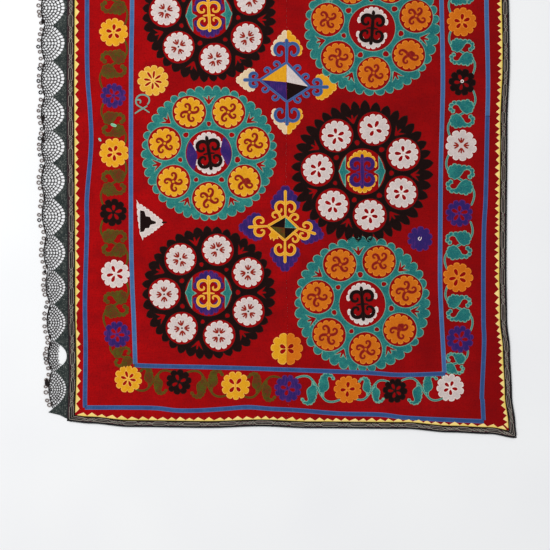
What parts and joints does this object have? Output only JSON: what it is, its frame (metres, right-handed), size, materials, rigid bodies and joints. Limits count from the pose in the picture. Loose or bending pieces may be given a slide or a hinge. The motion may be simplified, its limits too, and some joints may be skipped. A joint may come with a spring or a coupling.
{
  "type": "suzani embroidered textile",
  "caption": "Flat red cotton hanging in two joined widths with embroidered rosettes, folded yellow points, braided tape and a crocheted lace side edging.",
  "frame": {"origin": "middle of the underside, on the surface that the cloth lies on", "axes": "+X to the right across the face, +Y to the head of the cloth, +Z off the surface"},
  "size_m": [1.492, 2.152, 0.0042],
  "materials": {
    "red_cotton": "plain-woven red cotton with bands and rosettes in chain stitch",
    "yellow_cotton": "pale yellow cotton folded into points",
    "braided_tape": "hand-braided charcoal tape with fine pale threads",
    "lace_yarn": "dark grey-green crochet cotton",
    "embroidery_thread": "silk thread in chain stitch, in teal, black, white, yellow, orange, purple, olive and blue"
  },
  "bodies": {
    "root": {"panel_left": "red_cotton", "panel_right": "red_cotton", "tape_left": "braided_tape", "points_left": "yellow_cotton", "tape_right": "braided_tape", "points_right": "yellow_cotton", "tape_foot": "braided_tape", "points_foot": "yellow_cotton", "tape_head": "braided_tape", "points_head": "yellow_cotton", "lace_edging": "lace_yarn"}
  },
  "joints": []
}
